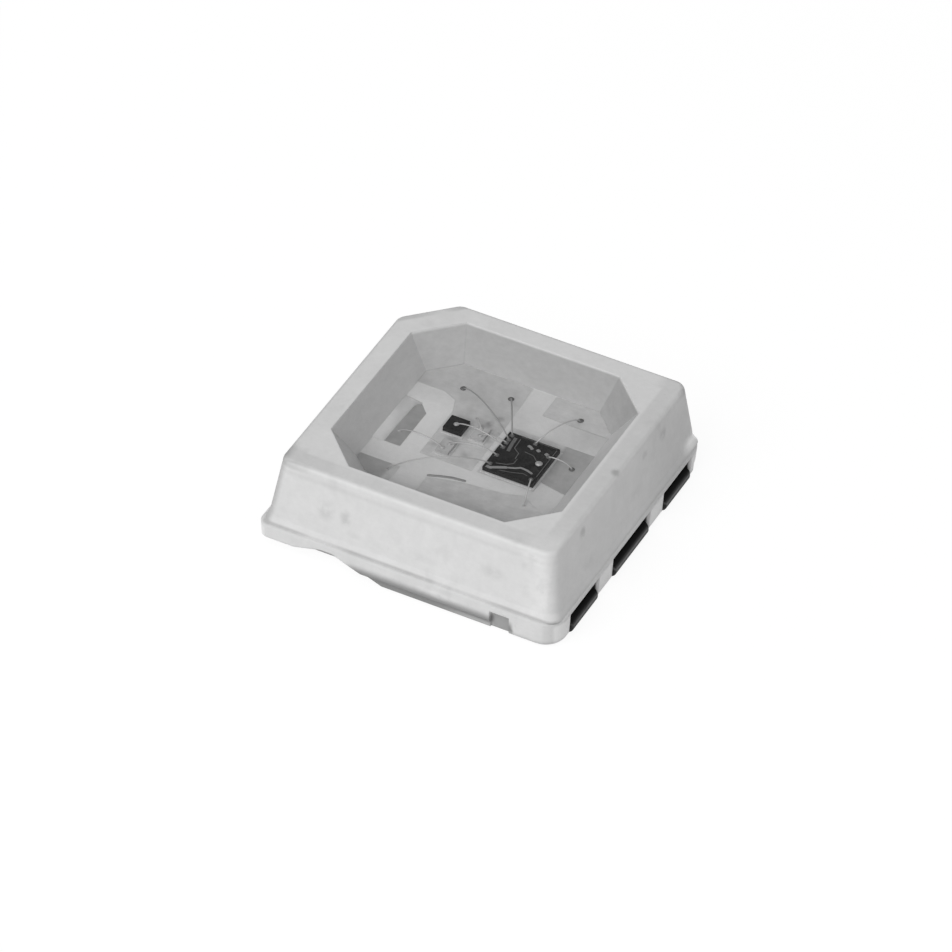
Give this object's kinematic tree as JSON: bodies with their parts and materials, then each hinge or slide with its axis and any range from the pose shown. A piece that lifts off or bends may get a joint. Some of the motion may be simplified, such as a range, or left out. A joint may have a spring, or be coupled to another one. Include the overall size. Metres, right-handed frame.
{
  "type": "smd led",
  "caption": "Square surface-mount light emitter: white moulded body with a chamfered corner, clear resin window over chips and bond wires, and flat leads folded under both sides.",
  "frame": {"origin": "middle of the footprint on the solder plane", "axes": "+Z out of the light window, +X across the body from one row of leads to the other, -Y the wall without leads that faces the camera in the picture"},
  "size_m": [0.005, 0.005, 0.0016],
  "materials": {
    "white_moulding": "matte",
    "clear_resin": "gloss",
    "lead_metal": "tarnished",
    "silicon": "gloss",
    "clear_chip": "gloss",
    "die_adhesive": "matte",
    "bond_wire": "drawn"
  },
  "bodies": {
    "root": {"housing": "white_moulding", "resin_fill": "clear_resin", "lead_left_front": "lead_metal", "lead_left_mid": "lead_metal", "lead_left_back": "lead_metal", "lead_right_front": "lead_metal", "lead_right_mid": "lead_metal", "lead_right_back": "lead_metal", "driver_die": "silicon", "red_die": "silicon", "green_die": "clear_chip", "blue_die": "clear_chip", "driver_attach": "die_adhesive", "red_attach": "die_adhesive", "green_attach": "die_adhesive", "blue_attach": "die_adhesive", "wire_driver_left_back": "bond_wire", "wire_driver_right_back": "bond_wire", "wire_driver_back_corner": "bond_wire", "wire_driver_right_front": "bond_wire", "wire_driver_right_mid": "bond_wire", "wire_driver_red": "bond_wire", "wire_driver_green": "bond_wire", "wire_green_left_back": "bond_wire", "wire_driver_blue": "bond_wire", "wire_blue_left_mid": "bond_wire", "wire_driver_left_front": "bond_wire"}
  },
  "joints": []
}
